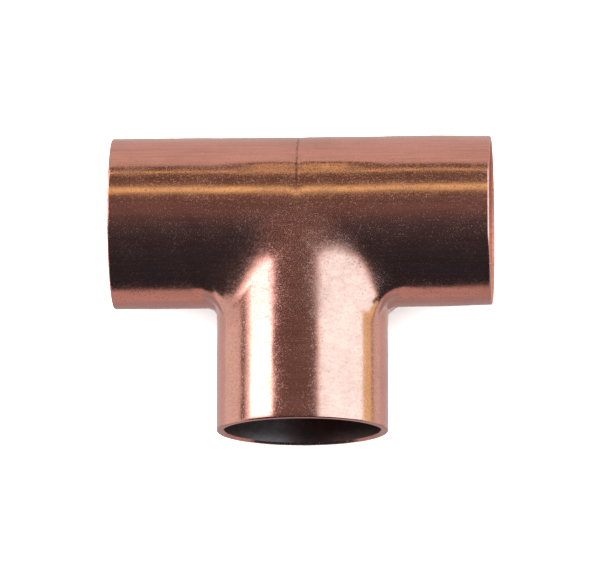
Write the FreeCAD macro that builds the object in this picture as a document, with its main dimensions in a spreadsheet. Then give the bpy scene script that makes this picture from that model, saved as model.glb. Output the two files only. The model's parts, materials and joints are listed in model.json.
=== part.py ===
import FreeCAD, Part
import math
import os
import Sketcher

# A capillary tee for 22 mm copper tube: one hydroformed copper piece with three solder sockets.
# It lies on its side.  The run lies along X, the branch points along -Y and +Z is up.
# The origin is where the centre lines of run and branch cross.  Lengths are in millimetres.

Vector = FreeCAD.Vector

# Driving dimensions: name, value, meaning.
DIMENSIONS = [
    ("tube_od", 22.0, "outside diameter of the tube that each socket takes"),
    ("solder_gap", 0.05, "gap for the solder between tube and socket, on the radius"),
    ("socket_wall", 1.07, "wall thickness round a socket"),
    ("socket_depth", 15.6, "how far a tube goes in, from the mouth to the stop"),
    ("stop_height", 0.63, "step inwards that stops the tube, on the radius"),
    ("stop_ramp", 0.45, "length of the sloping face of that step"),
    ("run_land", 0.83, "from the side of the branch waterway to the stops in the run"),
    ("branch_land", 4.08, "from the side of the run waterway to the stop in the branch"),
    ("branch_ease", 0.07, "how much smaller than the run the branch is, on the radius"),
    ("crotch_radius", 1.7, "outside radius where the branch leaves the run"),
    ("water_edge_radius", 0.35, "rounding of the edge between the two waterways"),
    ("mouth_lead", 0.3, "lead-in chamfer inside each mouth"),
    ("rim_radius", 0.25, "rounding outside each mouth"),
    ("crease_depth", 0.12, "deepest part of the forming crease across the back of the run"),
    ("crease_width", 1.1, "width of that crease at its deepest"),
    ("crease_reach", 70, "how far the crease goes each way from the back, in degrees"),
]

# Sizes that follow from the driving dimensions, as expressions on the sheet.
SOCKET_R = "(dims.tube_od / 2 + dims.solder_gap)"
RUN_R = f"({SOCKET_R} + dims.socket_wall)"
BRANCH_R = f"({RUN_R} - dims.branch_ease)"
RUN_WATER_R = f"({SOCKET_R} - dims.stop_height)"
BRANCH_WATER_R = f"({RUN_WATER_R} - dims.branch_ease)"
RUN_STOP = f"({RUN_WATER_R} + dims.run_land)"
BRANCH_STOP = f"({RUN_WATER_R} + dims.branch_land)"
RUN_REACH = f"({RUN_STOP} + dims.socket_depth)"
BRANCH_REACH = f"({BRANCH_STOP} + dims.socket_depth)"

# The crease is cut by a ring set off towards the branch, so its depth fades out at both ends.
CREASE_SHIFT = "(dims.crease_depth / (1 - cos(dims.crease_reach * 1 deg)))"
CREASE_RING_R = f"({RUN_R} + {CREASE_SHIFT} - dims.crease_depth)"
CREASE_SWEEP = 170

# How far a cutting profile runs past the metal.
PAST = "2"

# Which way the branch leaves, in degrees on a sketch across the run.
BRANCH_SIDE = 180.0


def add_dimensions(doc):
    """Adds the sheet of driving dimensions, one named cell each."""
    sheet = doc.addObject("Spreadsheet::Sheet", "dims")
    for row, (alias, value, meaning) in enumerate(DIMENSIONS, start=1):
        sheet.set(f"A{row}", alias)
        sheet.set(f"B{row}", str(value))
        sheet.set(f"C{row}", meaning)
        sheet.setAlias(f"B{row}", alias)
    doc.recompute()
    return sheet


def value_of(sheet, expression):
    """The number that an expression on the sheet comes to."""
    return float(sheet.evalExpression(expression))


def origin_feature(body, role):
    """One of the body's own origin planes or axes."""
    return next(f for f in body.Origin.OriginFeatures if f.Role == role)


def new_sketch(body, role, name):
    """Adds an empty sketch on one of the body's own origin planes."""
    sketch = body.newObject("Sketcher::SketchObject", name)
    sketch.AttachmentSupport = [(origin_feature(body, role), "")]
    sketch.MapMode = "FlatFace"
    return sketch


def bind(sketch, kind, where, value, expression):
    """Adds a dimension to a sketch and ties it to the sheet."""
    index = sketch.addConstraint(Sketcher.Constraint(kind, *where, value))
    sketch.setExpression(f"Constraints[{index}]", expression)


def circle_sketch(body, sheet, role, name, radius, turn=0.0):
    """Adds a sketch of one circle about the origin, its start turned by some degrees."""
    sketch = new_sketch(body, role, name)
    sketch.AttachmentOffset.Rotation = FreeCAD.Rotation(Vector(0, 0, 1), turn)
    size = value_of(sheet, radius)
    sketch.addGeometry(Part.Circle(Vector(0, 0, 0), Vector(0, 0, 1), size))
    sketch.addConstraint(Sketcher.Constraint("Coincident", 0, 3, -1, 1))
    bind(sketch, "Radius", (0,), size, radius)
    return sketch


def outline_sketch(body, sheet, role, name, corners):
    """Adds a closed outline of straight lines, each corner given by two expressions."""
    sketch = new_sketch(body, role, name)
    places = [Vector(value_of(sheet, x), value_of(sheet, y), 0) for x, y in corners]
    count = len(corners)
    for i in range(count):
        sketch.addGeometry(Part.LineSegment(places[i], places[(i + 1) % count]))
    for i in range(count):
        sketch.addConstraint(Sketcher.Constraint("Coincident", i, 2, (i + 1) % count, 1))
    for i, (x, y) in enumerate(corners):
        bind(sketch, "DistanceX", (-1, 1, i, 1), places[i].x, x)
        bind(sketch, "DistanceY", (-1, 1, i, 1), places[i].y, y)
    return sketch


def pad(body, sketch, length, midplane=False, backwards=False):
    """Adds metal along a sketch's normal."""
    feature = body.newObject("PartDesign::Pad", sketch.Name + "_pad")
    feature.Profile = sketch
    feature.Midplane = midplane
    feature.Reversed = backwards
    feature.setExpression("Length", length)
    return feature


def pocket(body, sketch, length, midplane=False, backwards=False):
    """Cuts along a sketch's normal."""
    feature = body.newObject("PartDesign::Pocket", sketch.Name + "_cut")
    feature.Profile = sketch
    feature.Midplane = midplane
    feature.Reversed = backwards
    feature.setExpression("Length", length)
    return feature


def groove(body, sketch, axis, sweep=360.0):
    """Cuts by turning a sketch about an axis, evenly to both sides of its plane."""
    feature = body.newObject("PartDesign::Groove", sketch.Name + "_groove")
    feature.Profile = sketch
    feature.ReferenceAxis = axis
    feature.Midplane = True
    feature.Angle = sweep
    return feature


def round_edges(body, name, edges, radius):
    """Rounds the named edges of the body as it stands."""
    base = body.Tip
    feature = body.newObject("PartDesign::Fillet", name)
    feature.Base = (base, edges)
    feature.setExpression("Radius", radius)
    return feature


def crossing_edges(shape, run_r, branch_r):
    """Names of the edges where a run cylinder and a branch cylinder meet."""
    names = []
    for number, edge in enumerate(shape.Edges, start=1):
        points = edge.discretize(7)
        on_run = all(abs(math.hypot(p.y, p.z) - run_r) < 1e-3 for p in points)
        on_branch = all(abs(math.hypot(p.x, p.z) - branch_r) < 1e-3 for p in points)
        if on_run and on_branch:
            names.append(f"Edge{number}")
    return names


def mouth_edges(shape, run_reach, branch_reach):
    """Names of the round edges in the planes of the three mouths."""
    names = []
    for number, edge in enumerate(shape.Edges, start=1):
        points = edge.discretize(5)
        in_run_mouth = all(abs(abs(p.x) - run_reach) < 1e-3 for p in points)
        in_branch_mouth = all(abs(p.y + branch_reach) < 1e-3 for p in points)
        if in_run_mouth or in_branch_mouth:
            names.append(f"Edge{number}")
    return names


def checked(doc, body, feature, before, grows):
    """Makes a feature the body's tip and makes sure that it changed the volume the right way."""
    body.Tip = feature
    doc.recompute()
    change = body.Shape.Volume - before
    if (change > 0) != grows or abs(change) < 1e-6:
        raise RuntimeError(f"{feature.Name} changed the volume by {change}")
    return body.Shape.Volume


def socket_outline(body, sheet, role, name, reach, stop, along_x):
    """The half section that a socket cuts: sloping stop, straight bore and lead-in at the mouth."""
    water_r = RUN_WATER_R if along_x else BRANCH_WATER_R
    steps = [
        (f"{stop} - dims.stop_ramp", "0"),
        (f"{stop} - dims.stop_ramp", water_r),
        (stop, SOCKET_R),
        (f"{reach} - dims.mouth_lead", SOCKET_R),
        (reach, f"{SOCKET_R} + dims.mouth_lead"),
        (f"{reach} + {PAST}", f"{SOCKET_R} + dims.mouth_lead"),
        (f"{reach} + {PAST}", "0"),
    ]
    if along_x:
        corners = steps
    else:
        corners = [(across, f"-({along})") for along, across in steps]
    return outline_sketch(body, sheet, role, name, corners)


def build_tee(doc, sheet):
    """The whole fitting, in the order that it is made: tube, bulged branch, waterways, sockets."""
    body = doc.addObject("PartDesign::Body", "tee_body")
    body.Label = "tee_body"
    run_length = f"2 * {RUN_REACH}"

    # The run's circles start on the branch side, so that the crossing edge is split where it is
    # square and not where the two tubes are level, which the rounding there needs.
    run = circle_sketch(body, sheet, "YZ_Plane", "run_outside", RUN_R, BRANCH_SIDE)
    volume = checked(doc, body, pad(body, run, run_length, midplane=True), 0.0, True)

    branch = circle_sketch(body, sheet, "XZ_Plane", "branch_outside", BRANCH_R)
    volume = checked(doc, body, pad(body, branch, BRANCH_REACH), volume, True)

    edges = crossing_edges(body.Shape, value_of(sheet, RUN_R), value_of(sheet, BRANCH_R))
    crotch = round_edges(body, "crotch", edges, "dims.crotch_radius")
    volume = checked(doc, body, crotch, volume, True)

    edges = mouth_edges(body.Shape, value_of(sheet, RUN_REACH), value_of(sheet, BRANCH_REACH))
    rims = round_edges(body, "mouth_rims", edges, "dims.rim_radius")
    volume = checked(doc, body, rims, volume, False)

    run_water = circle_sketch(
        body, sheet, "YZ_Plane", "run_waterway", RUN_WATER_R, BRANCH_SIDE
    )
    cut = pocket(body, run_water, run_length, midplane=True)
    volume = checked(doc, body, cut, volume, False)

    branch_water = circle_sketch(body, sheet, "XZ_Plane", "branch_waterway", BRANCH_WATER_R)
    cut = pocket(body, branch_water, BRANCH_REACH, backwards=True)
    volume = checked(doc, body, cut, volume, False)

    inside = (value_of(sheet, RUN_WATER_R), value_of(sheet, BRANCH_WATER_R))
    edges = crossing_edges(body.Shape, *inside)
    eased = round_edges(body, "waterway_edge", edges, "dims.water_edge_radius")
    volume = checked(doc, body, eased, volume, False)

    x_axis = (origin_feature(body, "X_Axis"), [""])
    y_axis = (origin_feature(body, "Y_Axis"), [""])
    outline = socket_outline(body, sheet, "XY_Plane", "run_socket", RUN_REACH, RUN_STOP, True)
    right_socket = groove(body, outline, x_axis)
    volume = checked(doc, body, right_socket, volume, False)

    left_socket = body.newObject("PartDesign::Mirrored", "left_socket")
    left_socket.Originals = [right_socket]
    left_socket.MirrorPlane = (origin_feature(body, "YZ_Plane"), [""])
    volume = checked(doc, body, left_socket, volume, False)

    outline = socket_outline(
        body, sheet, "XY_Plane", "branch_socket", BRANCH_REACH, BRANCH_STOP, False
    )
    volume = checked(doc, body, groove(body, outline, y_axis), volume, False)

    # The profile turns about its sketch's own H axis, so the attachment sets the ring's centre.
    crease = outline_sketch(
        body,
        sheet,
        "XY_Plane",
        "crease",
        [
            ("0", CREASE_RING_R),
            ("dims.crease_width", f"{CREASE_RING_R} + 2 * dims.crease_depth"),
            ("-dims.crease_width", f"{CREASE_RING_R} + 2 * dims.crease_depth"),
        ],
    )
    crease.setExpression(".AttachmentOffset.Base.y", f"-{CREASE_SHIFT}")
    volume = checked(
        doc, body, groove(body, crease, (crease, ["H_Axis"]), CREASE_SWEEP), volume, False
    )
    return body


def check_document(doc):
    """Stops on any object that failed to build."""
    for item in doc.Objects:
        if "Invalid" in item.State or "Error" in item.State:
            raise RuntimeError(f"{item.Name} is in state {item.State}")


def write_step(body):
    """Writes a sub-part to the file of its own name."""
    shape = body.Shape
    if shape.isNull() or not shape.isValid():
        raise RuntimeError(f"{body.Label} has no valid shape")
    shape.exportStep(f"parts/{body.Label}.step")
    box = shape.BoundBox
    print(body.Label, len(shape.Solids), round(shape.Volume, 3), box)


def main():
    doc = FreeCAD.newDocument("tee")
    sheet = add_dimensions(doc)
    tee = build_tee(doc, sheet)
    doc.recompute()
    check_document(doc)
    os.makedirs("parts", exist_ok=True)
    write_step(tee)


main()
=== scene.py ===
import json
import math

import bmesh
import bpy
import numpy as np
from mathutils import Matrix, Vector


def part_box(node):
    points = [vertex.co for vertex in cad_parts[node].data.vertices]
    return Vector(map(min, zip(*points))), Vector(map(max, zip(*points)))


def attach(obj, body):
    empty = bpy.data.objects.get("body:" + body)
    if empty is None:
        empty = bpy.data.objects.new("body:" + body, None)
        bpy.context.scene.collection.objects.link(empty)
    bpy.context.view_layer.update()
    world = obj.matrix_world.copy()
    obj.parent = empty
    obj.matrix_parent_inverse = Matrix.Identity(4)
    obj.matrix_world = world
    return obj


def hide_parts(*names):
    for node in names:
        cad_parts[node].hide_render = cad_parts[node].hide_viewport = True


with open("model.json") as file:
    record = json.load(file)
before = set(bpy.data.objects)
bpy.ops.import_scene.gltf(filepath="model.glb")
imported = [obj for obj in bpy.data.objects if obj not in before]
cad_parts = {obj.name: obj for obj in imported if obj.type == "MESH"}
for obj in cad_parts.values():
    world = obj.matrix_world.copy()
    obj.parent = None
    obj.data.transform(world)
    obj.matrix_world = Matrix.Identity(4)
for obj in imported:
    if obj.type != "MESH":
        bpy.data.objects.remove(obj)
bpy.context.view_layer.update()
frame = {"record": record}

# ---------------------------------------------------------------- sizes, in metres
MM = 0.001
CAD_LOW, CAD_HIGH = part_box("tee_body")
MOUNTS = {m["name"]: m for m in frame["record"]["mounts"]}
SOCKET_R = MOUNTS["right_socket"]["dims"]["r_mm"] * MM
SOCKET_LENGTH = MOUNTS["right_socket"]["dims"]["length_mm"] * MM
OUTER_R = CAD_HIGH.z
RUN_REACH = CAD_HIGH.x
BRANCH_REACH = -CAD_LOW.y
# The waterway, the slope down to it, and each mouth's chamfer, rounded rim and small bevels.
WATER_R = 10.42 * MM
STOP_RAMP = 0.45 * MM
MOUTH_LEAD = 0.3 * MM
RIM_ROUND = 0.25 * MM
EDGE_EASE = 0.02 * MM
# The rounding where the waterways cross, as a share of the half width.
WATER_EDGE_SHARE = 0.035

# The marks of forming, in mm: how deep each is, and where the crease and the level band lie in X.
CREASE_X = -0.3
CREASE_DEPTH = 0.11
CREASE_LINE_DEPTH = 0.05
BAND_X = 0.5
BAND_REACH = 9.5
BAND_DEPTH = 0.12
SOCKET_RING_DEPTH = 0.05
RIGHT_TAPER_DEPTH = 0.13

# Where the level band starts to fade and over how much, in degrees from the top to the back.
BAND_FADE_START = 25.6
BAND_FADE_SPAN = 8.0

# Each part of the skin has its own finish; the branch bore's colour is darkened as painted shade.
FINISHES = ["outside", "run_bore", "branch_bore"]

# How many faces the tee is laid out in: a quarter turn, then the run, the crotch and the branch.
QUARTER_STEPS = 60
OUTSIDE_STEPS = (56, 20, 36)
INSIDE_STEPS = (14, 5, 8)
SOCKET_ROWS = 12
WELD_DISTANCE = 0.001 * MM
SHARP_ANGLE = math.radians(32)

# The camera: its turns in degrees, its distance and the width that it sees. The tee's centre lies
# this far to the right of the picture's middle and this far above it.
YAW = 3.2
TILT = 10.56
CAMERA_DISTANCE = 1.22
FRAME_WIDTH = 85.0 * MM
CENTRE_SHIFT = (0.35 * MM, 9.32 * MM)


# ---------------------------------------------------------------- the tee's surface
def smooth(low, high, value):
    """Goes smoothly from 0 at low to 1 at high."""
    part = np.clip((value - low) / (high - low), 0.0, 1.0)
    return part * part * (3 - 2 * part)


def crotch_share(level):
    """Rounding between run and branch over the tee's half width: tight at its side, wide on top."""
    height = abs(math.sin(level))
    return 0.12 + 0.46 * smooth(0.15, 0.65, height) + 1.7 * height**24


def crowded_steps(count):
    """Shares from 0 to 1 that lie closer together near 0."""
    even = np.linspace(0.0, 1.0, count + 1)
    return 0.35 * even + 0.65 * even**2


def crotch_line(half_width, rounding, reach, steps):
    """One level line of the tee from the run's mouth, round the crotch, to the branch's mouth."""
    corner = half_width + rounding
    spread = crowded_steps(steps[0])[::-1]
    along_run = [(corner + (reach[0] - corner) * s, -half_width) for s in spread]
    turns = np.linspace(math.pi / 2, math.pi, steps[1] + 1)[1:]
    arc = [(corner + rounding * math.cos(a), rounding * math.sin(a) - corner) for a in turns]
    ys = np.linspace(-corner, -reach[1], steps[2] + 1)[1:]
    return along_run + arc + [(half_width, y) for y in ys]


def tee_patches(radius, reach, steps, rounding):
    """Grids of points for a tee of equal tubes that ends square at its three mouths."""
    levels = np.radians(np.linspace(90, -90, 2 * QUARTER_STEPS + 1))
    back, front = [], []
    spread = crowded_steps(steps[0])
    xs = np.concatenate([-spread[::-1], spread[1:]]) * reach[0]
    for level in levels:
        half_width = radius * max(math.cos(level), 0.0)
        z = radius * math.sin(level)
        back.append([(x, half_width, z) for x in xs])
        line = crotch_line(half_width, half_width * rounding(level), reach, steps)
        front.append([(x, y, z) for x, y in line])
    back, right = np.array(back), np.array(front)
    left = right * np.array([-1.0, 1.0, 1.0])
    return [back, right, left]


def collar(profile, place):
    """Turns a profile of (distance along the axis, radius) round a mouth's axis."""
    angles = np.linspace(0.0, 2 * math.pi, 4 * QUARTER_STEPS + 1)
    rows = [[place(along, r * math.sin(a), r * math.cos(a)) for a in angles] for along, r in profile]
    return np.array(rows)


def socket_profile(reach, stop):
    """From the outside of a mouth round its rim, down the socket and over the tube stop."""
    turns = np.radians([0, 22.5, 45, 67.5, 90])
    rim_r = OUTER_R - RIM_ROUND
    rim_x = reach - RIM_ROUND
    profile = [(rim_x + RIM_ROUND * math.sin(t), rim_r + RIM_ROUND * math.cos(t)) for t in turns]
    profile.append((reach, SOCKET_R + MOUTH_LEAD + EDGE_EASE))
    profile.append((reach - EDGE_EASE, SOCKET_R + MOUTH_LEAD))
    profile.append((reach - MOUTH_LEAD, SOCKET_R + EDGE_EASE))
    straight_start = reach - MOUTH_LEAD - 5 * EDGE_EASE
    profile += [(along, SOCKET_R) for along in np.linspace(straight_start, stop, SOCKET_ROWS)]
    profile.append((stop - STOP_RAMP, WATER_R))
    return profile


def marks(points):
    """Presses the marks of forming and sizing into the outside. Every mark goes inwards.

    Through the wall the marks on the run fade out, so the bore keeps its size.
    """
    x, y, z = points[..., 0] / MM, points[..., 1] / MM, points[..., 2] / MM
    in_wall = np.clip((np.hypot(y, z) * MM - SOCKET_R) / (OUTER_R - SOCKET_R), 0.0, 1.0)
    turn = np.degrees(np.arctan2(y, np.abs(z)))
    on_back = 0.5 * smooth(4.0, 18.0, turn) + 0.5 * smooth(24.0, 40.0, turn)
    crease = CREASE_DEPTH * np.exp(-(((x - CREASE_X) / 0.9) ** 2))
    crease += CREASE_LINE_DEPTH * np.exp(-(((x - CREASE_X) / 0.25) ** 2))
    crease *= on_back * (1 - 0.6 * smooth(40.0, 80.0, turn))
    # Beside the crease a narrow band is left level, which stretches what it reflects.
    fade = 1 - np.clip((turn - BAND_FADE_START) / BAND_FADE_SPAN, 0.0, 1.0) ** 2
    ripple = 1 - 0.05 * np.sin(1.9 * x + 0.6) - 0.04 * np.sin(4.6 * x)
    band = BAND_DEPTH * ripple * np.exp(-(((x - BAND_X) / BAND_REACH) ** 4))
    band *= smooth(-26.0, 8.0, turn) * fade
    rings = SOCKET_RING_DEPTH * (1 - smooth(11.0, 14.5, np.abs(x))) * smooth(-2.0, 6.0, y)
    taper = RIGHT_TAPER_DEPTH * smooth(19.0, RUN_REACH / MM, x)
    run_depth = (crease + band + rings + taper) * in_wall
    # The marks on the run stop where the branch starts.
    run_depth = run_depth * np.maximum(smooth(-11.5, -9.0, y), smooth(14.0, 17.0, np.abs(x)))
    branch_depth = SOCKET_RING_DEPTH * smooth(-19.0, -16.0, y) * (1 - smooth(-15.5, -13.5, y))
    out = points.copy()
    out[..., 1:] *= (1 - run_depth * MM / OUTER_R)[..., None]
    out[..., ::2] *= (1 - branch_depth * MM / OUTER_R)[..., None]
    return out


def finish_at(point):
    """Which finish a point of the skin has: the outside's, the run bore's or the branch bore's."""
    limit = SOCKET_R + MOUTH_LEAD / 2
    if math.hypot(point[1], point[2]) < limit:
        return FINISHES.index("run_bore")
    if math.hypot(point[0], point[2]) < limit and point[1] < -OUTER_R:
        return FINISHES.index("branch_bore")
    return FINISHES.index("outside")


def tee_mesh():
    """The whole tee as one closed skin."""
    outside_reach = (RUN_REACH - RIM_ROUND, BRANCH_REACH - RIM_ROUND)
    outside = tee_patches(OUTER_R, outside_reach, OUTSIDE_STEPS, crotch_share)
    run_stop = RUN_REACH - MOUTH_LEAD - SOCKET_LENGTH
    branch_stop = BRANCH_REACH - MOUTH_LEAD - SOCKET_LENGTH
    inside_reach = (run_stop - STOP_RAMP, branch_stop - STOP_RAMP)
    inside = tee_patches(WATER_R, inside_reach, INSIDE_STEPS, lambda level: WATER_EDGE_SHARE)
    run_profile = socket_profile(RUN_REACH, run_stop)
    branch_profile = socket_profile(BRANCH_REACH, branch_stop)
    collars = [
        marks(collar(run_profile, lambda a, u, v: (a, u, v))),
        marks(collar(run_profile, lambda a, u, v: (-a, -u, v))),
        collar(branch_profile, lambda a, u, v: (u, -a, v)),
    ]
    vertices, faces, finishes = [], [], []
    for patch in [*map(marks, outside), *inside, *collars]:
        rows, columns = patch.shape[:2]
        start = len(vertices)
        vertices += patch.reshape(-1, 3).tolist()
        for i in range(rows - 1):
            for j in range(columns - 1):
                a = start + i * columns + j
                faces.append((a, a + columns, a + columns + 1, a + 1))
                middle = (patch[i, j] + patch[i + 1, j + 1]) / 2
                finishes.append(finish_at(middle))
    return vertices, faces, finishes


def new_object(name, vertices, faces, material):
    """Adds a mesh object to the scene."""
    mesh = bpy.data.meshes.new(name)
    mesh.from_pydata(vertices, [], faces)
    obj = bpy.data.objects.new(name, mesh)
    bpy.context.scene.collection.objects.link(obj)
    mesh.materials.append(material)
    return obj


def weld(obj):
    """Joins the edges of the patches, turns every face outwards and shades it smooth."""
    work = bmesh.new()
    work.from_mesh(obj.data)
    bmesh.ops.remove_doubles(work, verts=work.verts, dist=WELD_DISTANCE)
    bmesh.ops.recalc_face_normals(work, faces=work.faces)
    work.to_mesh(obj.data)
    work.free()
    obj.data.shade_smooth()
    obj.data.set_sharp_from_angle(angle=SHARP_ANGLE)


# ---------------------------------------------------------------- materials
class Nodes:
    """A short way to write a node tree."""

    def __init__(self, tree):
        self.tree = tree
        tree.nodes.clear()

    def add(self, kind, **settings):
        node = self.tree.nodes.new(kind)
        for name, value in settings.items():
            setattr(node, name, value)
        return node

    def link(self, output, socket):
        self.tree.links.new(output, socket)

    def mapped(self, source, scale, turn=(0.0, 0.0, 0.0)):
        """Coordinates turned and then scaled."""
        spin = self.add("ShaderNodeMapping", vector_type="POINT")
        spin.inputs["Rotation"].default_value = turn
        self.link(source, spin.inputs["Vector"])
        stretch = self.add("ShaderNodeVectorMath", operation="MULTIPLY")
        self.link(spin.outputs["Vector"], stretch.inputs[0])
        stretch.inputs[1].default_value = scale
        return stretch.outputs["Vector"]

    def noise(self, coordinates, scale, detail=2.0, roughness=0.5):
        node = self.add("ShaderNodeTexNoise")
        self.link(coordinates, node.inputs["Vector"])
        node.inputs["Scale"].default_value = scale
        node.inputs["Detail"].default_value = detail
        node.inputs["Roughness"].default_value = roughness
        return node.outputs["Fac"]

    def ranged(self, value, low, high, to_low=0.0, to_high=1.0):
        """Maps low..high to other limits, smoothly, and clamps."""
        node = self.add("ShaderNodeMapRange", interpolation_type="SMOOTHSTEP")
        self.link(value, node.inputs["Value"])
        node.inputs["From Min"].default_value = low
        node.inputs["From Max"].default_value = high
        node.inputs["To Min"].default_value = to_low
        node.inputs["To Max"].default_value = to_high
        return node.outputs["Result"]

    def maths(self, operation, a, b):
        node = self.add("ShaderNodeMath", operation=operation)
        for socket, value in zip(node.inputs, (a, b)):
            if isinstance(value, (int, float)):
                socket.default_value = value
            else:
                self.link(value, socket)
        return node.outputs["Value"]

    def mixed(self, share, a, b):
        """Blends two colours, each a fixed one or a node's output."""
        node = self.add("ShaderNodeMix", data_type="RGBA")
        self.link(share, node.inputs["Factor"])
        for socket, value in ((node.inputs[6], a), (node.inputs[7], b)):
            if isinstance(value, tuple):
                socket.default_value = (*value, 1.0)
            else:
                self.link(value, socket)
        return node.outputs[2]

    def bump(self, height, distance, strength, under=None):
        node = self.add("ShaderNodeBump")
        node.inputs["Strength"].default_value = strength
        node.inputs["Distance"].default_value = distance
        self.link(height, node.inputs["Height"])
        if under is not None:
            self.link(under, node.inputs["Normal"])
        return node.outputs["Normal"]


COPPER = (0.88, 0.42, 0.32)
SATIN_COPPER = (0.98, 0.41, 0.30)
# Copper darkened to stand for the shade inside the branch bore: painted shade.
SHADED_BORE_COPPER = (0.20, 0.135, 0.13)
TARNISH = (0.60, 0.25, 0.18)
BRUISE = (0.52, 0.22, 0.18)
OXIDE = (0.22, 0.09, 0.06)

# Layers of scratches: how many cells a metre holds and how the scratches lie, in radians.
SCRATCH_LAYERS = ((190, 0.85), (260, -0.85), (380, 0.7), (520, -1.0))
SCRATCH_WIDTH = 0.045 * MM


def scratch_layer(n, place, cells_per_metre, turn, width):
    """Straight scratches seen from above, one in each cell of an irregular net."""
    net = n.add("ShaderNodeTexVoronoi", voronoi_dimensions="2D")
    n.link(place, net.inputs["Vector"])
    net.inputs["Scale"].default_value = cells_per_metre
    away = n.add("ShaderNodeVectorMath", operation="SUBTRACT")
    n.link(place, away.inputs[0])
    n.link(net.outputs["Position"], away.inputs[1])
    chance = n.add("ShaderNodeSeparateColor")
    n.link(net.outputs["Color"], chance.inputs[0])
    spin = n.add("ShaderNodeVectorRotate", rotation_type="Z_AXIS")
    n.link(away.outputs["Vector"], spin.inputs["Vector"])
    spread = n.maths("MULTIPLY", n.maths("SUBTRACT", chance.outputs["Red"], 0.5), 0.9)
    n.link(n.maths("ADD", spread, turn), spin.inputs["Angle"])
    parts = n.add("ShaderNodeSeparateXYZ")
    n.link(spin.outputs["Vector"], parts.inputs[0])
    across = n.maths("ABSOLUTE", parts.outputs["Y"], 0.0)
    along = n.maths("ABSOLUTE", parts.outputs["X"], 0.0)
    thin = n.ranged(across, 0.25 * width, width, 1.0, 0.0)
    short = n.ranged(along, 0.15 / cells_per_metre, 0.55 / cells_per_metre, 1.0, 0.0)
    strong = n.ranged(chance.outputs["Green"], 0.2, 1.0)
    return n.maths("MULTIPLY", n.maths("MULTIPLY", thin, short), strong)


def scratch_lines(n, place):
    """Fine crossed scratches, thickest round the crossing."""
    lines = None
    for cells_per_metre, turn in SCRATCH_LAYERS:
        found = scratch_layer(n, place, cells_per_metre, turn, SCRATCH_WIDTH)
        lines = found if lines is None else n.maths("MAXIMUM", lines, found)
    spread = n.add("ShaderNodeVectorMath", operation="LENGTH")
    n.link(n.mapped(place, (1.0, 1.0, 0.0)), spread.inputs[0])
    crowded = n.ranged(spread.outputs["Value"], 8.0 * MM, 22.0 * MM, 1.0, 0.30)
    return n.maths("MULTIPLY", lines, crowded)


def crease_line(n, place):
    """The thin dark line along the bottom of the forming crease."""
    parts = n.add("ShaderNodeSeparateXYZ")
    n.link(place, parts.inputs[0])
    wander = n.maths("MULTIPLY", n.maths("SUBTRACT", n.noise(place, 900.0), 0.5), 0.25 * MM)
    aside = n.maths("SUBTRACT", parts.outputs["X"], CREASE_X * MM)
    across = n.maths("ABSOLUTE", n.maths("ADD", aside, wander), 0.0)
    near = n.ranged(across, 0.05 * MM, 0.24 * MM, 1.0, 0.0)
    behind = n.ranged(parts.outputs["Y"], 2.4 * MM, 5.0 * MM)
    broken = n.ranged(n.noise(place, 1500.0), 0.35, 0.6, 0.25, 0.7)
    return n.maths("MULTIPLY", n.maths("MULTIPLY", near, behind), broken)


def worn_area(n, place):
    """Where bulging the branch has roughened the metal: round the crossing, on both faces."""
    parts = n.add("ShaderNodeSeparateXYZ")
    n.link(place, parts.inputs[0])
    aside = n.maths("MULTIPLY", parts.outputs["X"], 0.8)
    along = n.maths("ADD", parts.outputs["Y"], 7.0 * MM)
    flat = n.add("ShaderNodeCombineXYZ")
    n.link(aside, flat.inputs["X"])
    n.link(along, flat.inputs["Y"])
    away = n.add("ShaderNodeVectorMath", operation="LENGTH")
    n.link(flat.outputs["Vector"], away.inputs[0])
    ragged = n.maths("MULTIPLY", n.maths("SUBTRACT", n.noise(place, 350.0, 3.0), 0.5), 6.0 * MM)
    return n.ranged(n.maths("ADD", away.outputs["Value"], ragged), 4.5 * MM, 12.0 * MM, 1.0, 0.0)


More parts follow.
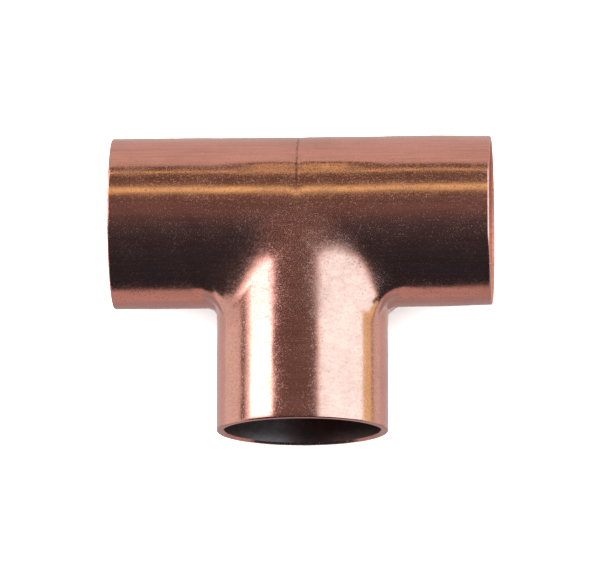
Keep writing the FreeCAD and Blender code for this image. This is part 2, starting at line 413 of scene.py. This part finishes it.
def copper_material(name, base, roughness, outside):
    """Formed copper: slight tarnish, drawing lines, fine scratches and small specks.

    Only the outside has the dark line of the crease.
    """
    material = bpy.data.materials.new(name)
    material.use_nodes = True
    n = Nodes(material.node_tree)
    place = n.add("ShaderNodeTexCoord").outputs["Object"]

    # Colour.
    tarnish = n.ranged(n.noise(place, 110.0, 4.0, 0.6), 0.46, 0.72, 0.0, 0.50)
    drawn = n.noise(n.mapped(place, (90.0, 2600.0, 2600.0)), 1.0, 3.0, 0.6)
    grain = n.ranged(drawn, 0.42, 0.66, 0.0, 0.46)
    fine = n.noise(place, 3300.0, 3.0, 0.6)
    specks = n.ranged(fine, 0.60, 0.72, 0.0, 0.5)
    darker = tuple(0.68 * c for c in base)
    colour = n.mixed(tarnish, base, darker)
    colour = n.mixed(grain, colour, darker)
    colour = n.mixed(specks, colour, TARNISH)
    worn = worn_area(n, place)
    patches = n.ranged(n.noise(place, 1100.0, 4.0, 0.7), 0.42, 0.60, 0.0, 0.22)
    colour = n.mixed(n.maths("MULTIPLY", patches, n.maths("ADD", worn, 0.3)), colour, BRUISE)
    if outside:
        colour = n.mixed(crease_line(n, place), colour, OXIDE)

    # Roughness.
    scratches = scratch_lines(n, place)
    uneven = n.ranged(n.noise(place, 260.0, 3.0), 0.3, 0.7, roughness, roughness + 0.05)
    rough = n.maths("ADD", uneven, n.maths("MULTIPLY", scratches, 0.11))
    grit = n.ranged(fine, 0.50, 0.70)
    rough = n.maths("ADD", rough, n.maths("MULTIPLY", grit, 0.17))
    rough = n.maths("ADD", rough, n.maths("MULTIPLY", worn, 0.06))

    # Relief.
    waves = n.bump(n.noise(place, 240.0, 2.0), 0.05 * MM, 0.5)
    pits = n.bump(fine, 0.0025 * MM, 0.6, waves)
    lines = n.bump(drawn, 0.002 * MM, 0.5, pits)
    dents = n.maths("MULTIPLY", n.noise(place, 1500.0, 2.0), worn)
    rippled = n.bump(dents, 0.012 * MM, 0.6, lines)
    cuts = n.bump(scratches, 0.0005 * MM, 0.6, rippled)

    shader = n.add("ShaderNodeBsdfPrincipled")
    shader.inputs["Metallic"].default_value = 1.0
    n.link(colour, shader.inputs["Base Color"])
    n.link(rough, shader.inputs["Roughness"])
    n.link(cuts, shader.inputs["Normal"])
    n.link(shader.outputs["BSDF"], n.add("ShaderNodeOutputMaterial").inputs["Surface"])
    return material


def paper_material():
    """The pale matt floor, with a trace of mottling."""
    material = bpy.data.materials.new("pale_floor")
    material.use_nodes = True
    n = Nodes(material.node_tree)
    place = n.add("ShaderNodeTexCoord").outputs["Object"]
    shader = n.add("ShaderNodeBsdfPrincipled")
    shader.inputs["Roughness"].default_value = 0.9
    mottle = n.ranged(n.noise(place, 40.0, 3.0), 0.3, 0.7)
    n.link(n.mixed(mottle, (0.80, 0.80, 0.80), (0.84, 0.84, 0.835)), shader.inputs["Base Color"])
    n.link(shader.outputs["BSDF"], n.add("ShaderNodeOutputMaterial").inputs["Surface"])
    return material


def glow_material(name, colour):
    """A lit card, not quite even."""
    material = bpy.data.materials.new(name)
    material.use_nodes = True
    n = Nodes(material.node_tree)
    place = n.add("ShaderNodeTexCoord").outputs["Object"]
    light = n.add("ShaderNodeEmission")
    tint = n.ranged(n.noise(place, 3.0), 0.3, 0.7)
    n.link(n.mixed(tint, colour, tuple(0.97 * c for c in colour)), light.inputs["Color"])
    n.link(light.outputs["Emission"], n.add("ShaderNodeOutputMaterial").inputs["Surface"])
    return material


# ---------------------------------------------------------------- studio
def reflected_only(obj):
    """Lets an object be seen in the copper and nowhere else."""
    obj.visible_camera = False
    obj.visible_diffuse = False
    obj.visible_shadow = False
    obj.visible_transmission = False


def sky_card(name, axis, turns, leans, colour, distance):
    """A card far from the tee, as a patch of a sphere about it.  Its limits are in degrees.

    About axis "X" it turns from overhead towards the back and leans to the right.  About axis "Y"
    it turns from overhead to the right and leans towards the back.
    """
    steps = 12
    vertices, faces = [], []
    for turn in np.radians(np.linspace(*turns, steps + 1)):
        for lean in np.radians(np.linspace(*leans, steps + 1)):
            along = math.sin(lean)
            across, up = math.sin(turn) * math.cos(lean), math.cos(turn) * math.cos(lean)
            spot = (along, across, up) if axis == "X" else (across, along, up)
            vertices.append(tuple(distance * c for c in spot))
    for i in range(steps):
        for j in range(steps):
            a = i * (steps + 1) + j
            faces.append((a, a + 1, a + steps + 2, a + steps + 1))
    reflected_only(new_object(name, vertices, faces, glow_material(name, colour)))


def add_floor():
    """A pale floor that curves up into a low wall all round."""
    floor_z = CAD_LOW.z
    bend, wall_r, wall_top = 0.2, 1.6, 0.46
    profile = [(0.0, 0.0), (0.3, 0.0), (0.8, 0.0), (wall_r - bend, 0.0)]
    for angle in np.radians(np.linspace(10, 90, 9)):
        profile.append((wall_r - bend + bend * math.sin(angle), bend - bend * math.cos(angle)))
    profile.append((wall_r, wall_top))
    around = 96
    vertices, faces = [], []
    for i in range(around):
        turn = 2 * math.pi * i / around
        vertices += [(r * math.sin(turn), r * math.cos(turn), floor_z + h) for r, h in profile]
    rows = len(profile)
    for i in range(around):
        for j in range(rows - 1):
            a, b = i * rows + j, (i + 1) % around * rows + j
            faces.append((a, b, b + 1, a + 1))
    floor = new_object("floor", vertices, faces, paper_material())
    weld(floor)
    floor.visible_glossy = False


def add_area_light(name, spot, size, watts, colour):
    """A soft box that faces the tee and isn't seen in the copper."""
    light = bpy.data.lights.new(name, "AREA")
    light.shape = "RECTANGLE"
    light.size, light.size_y = size
    light.energy = watts
    light.color = colour
    obj = bpy.data.objects.new(name, light)
    obj.location = spot
    obj.rotation_mode = "QUATERNION"
    obj.rotation_quaternion = Vector(spot).to_track_quat("Z", "Y")
    obj.visible_camera = False
    obj.visible_glossy = False
    bpy.context.scene.collection.objects.link(obj)


def add_world():
    """A dim room: brown overhead and towards the back, nearly black on the viewer's side."""
    world = bpy.data.worlds.new("room")
    bpy.context.scene.world = world
    world.use_nodes = True
    n = Nodes(world.node_tree)
    place = n.add("ShaderNodeTexCoord").outputs["Generated"]
    parts = n.add("ShaderNodeSeparateXYZ")
    n.link(place, parts.inputs[0])
    ramp = n.add("ShaderNodeValToRGB")
    stops = [
        (0.0, (0.026, 0.034, 0.048)),
        (0.22, (0.040, 0.046, 0.058)),
        (0.36, (0.058, 0.064, 0.078)),
        (0.475, (0.105, 0.088, 0.098)),
        (0.53, (0.160, 0.122, 0.122)),
        (0.80, (0.155, 0.120, 0.110)),
        (1.0, (0.140, 0.105, 0.085)),
    ]
    ramp.color_ramp.elements.remove(ramp.color_ramp.elements[1])
    ramp.color_ramp.elements[0].position = stops[0][0]
    ramp.color_ramp.elements[0].color = (*stops[0][1], 1.0)
    for where, colour in stops[1:]:
        ramp.color_ramp.elements.new(where).color = (*colour, 1.0)
    half = n.maths("MULTIPLY", parts.outputs["Y"], 0.5)
    n.link(n.maths("ADD", half, 0.5), ramp.inputs["Fac"])
    light = n.add("ShaderNodeBackground")
    n.link(ramp.outputs["Color"], light.inputs["Color"])
    n.link(n.ranged(n.noise(place, 16.0, 4.0, 0.7), 0.35, 0.65, 0.78, 1.18), light.inputs["Strength"])
    n.link(light.outputs["Background"], n.add("ShaderNodeOutputWorld").inputs["Surface"])


def add_camera():
    """The photo's view: from above, a little to the branch's side and a little to the right."""
    scene = bpy.context.scene
    back = Vector((math.tan(math.radians(YAW)), -math.tan(math.radians(TILT)), 1.0)).normalized()
    up = (Vector((0.0, 1.0, 0.0)) - back * back.y).normalized()
    right = up.cross(back)
    data = bpy.data.cameras.new("camera")
    data.sensor_width = 36.0
    data.lens = data.sensor_width * CAMERA_DISTANCE / FRAME_WIDTH
    data.clip_end = 20.0
    camera = bpy.data.objects.new("camera", data)
    camera.rotation_mode = "QUATERNION"
    camera.rotation_quaternion = Matrix((right, up, back)).transposed().to_quaternion()
    camera.location = back * CAMERA_DISTANCE - right * CENTRE_SHIFT[0] - up * CENTRE_SHIFT[1]
    scene.collection.objects.link(camera)
    scene.camera = camera


vertices, faces, finishes = tee_mesh()
tee = new_object("tee_skin", vertices, faces, copper_material("outside_copper", COPPER, 0.14, True))
tee.data.materials.append(copper_material("run_bore_copper", SATIN_COPPER, 0.72, False))
# The branch bore gets copper darkened as painted shade for the inside of the bore.
tee.data.materials.append(copper_material("branch_bore_shaded_copper", SHADED_BORE_COPPER, 0.36, False))
tee.data.polygons.foreach_set("material_index", finishes)
weld(tee)
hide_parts("tee_body")
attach(tee, "root")

add_floor()
add_world()
# What the copper reflects: name, axis, turns, leans, colour and distance.  Where two cards cross,
# the nearer one hides the farther.
CARDS = [
    ("left_box", "Y", (-71.5, -38.1), (1.0, 60.0), (3.4, 3.5, 3.9), 1.0),
    ("left_box_top", "Y", (-72.0, -38.1), (-8.5, 1.0), (1.20, 1.20, 1.25), 1.0),
    ("left_corner", "Y", (-98.0, -72.0), (-24.0, -2.0), (0.72, 0.72, 0.74), 1.01),
    ("left_box_foot", "Y", (-79.5, -71.5), (-2.0, 60.0), (0.86, 0.84, 0.86), 1.0),
    ("right_box", "Y", (25.4, 91.5), (-16.0, 60.0), (1.36, 2.10, 2.46), 1.0),
    ("right_box_top", "Y", (25.4, 80.0), (-28.0, -16.0), (1.36, 2.10, 2.46), 1.0),
    ("right_box_glow", "Y", (23.0, 82.0), (-31.0, 60.0), (1.20, 0.95, 0.92), 1.02),
    ("right_edge", "Y", (91.5, 109.5), (-24.0, 60.0), (0.88, 0.88, 0.50), 1.0),
    ("back_strip", "X", (31.6, 39.6), (-65.0, 65.0), (1.08, 1.02, 0.52), 0.98),
    ("back_line", "X", (61.3, 63.5), (-65.0, 65.0), (1.45, 1.32, 0.70), 0.98),
    ("back_wall", "X", (73.0, 90.0), (-50.0, 50.0), (0.66, 0.60, 0.58), 0.98),
    ("table_back", "X", (90.0, 178.0), (-48.0, 48.0), (0.63, 0.58, 0.58), 0.98),
    ("table_front", "X", (-140.0, -111.5), (-48.0, 48.0), (0.54, 0.43, 0.43), 0.98),
    # table_under glows dimmer than the other table cards: painted shade of the floor under the tee.
    ("table_under", "X", (-178.0, -140.0), (-48.0, 48.0), (0.42, 0.37, 0.38), 0.98),
    ("table_far_left", "Y", (-178.0, -124.0), (-60.0, 60.0), (0.64, 0.62, 0.66), 1.0),
    ("table_left", "Y", (-124.0, -88.0), (-42.0, 60.0), (0.82, 0.86, 0.88), 1.0),
    ("table_right", "Y", (113.0, 178.0), (-45.0, 60.0), (0.74, 0.76, 0.80), 1.0),
]
for name, axis, turns, leans, colour, distance in CARDS:
    sky_card(name, axis, turns, leans, colour, distance)
add_area_light("top_soft", (0.0, 0.2, 1.5), (3.6, 3.6), 260.0, (1.0, 0.99, 0.98))
add_camera()

view = bpy.context.scene.view_settings
view.view_transform = "Standard"
view.look = "None"
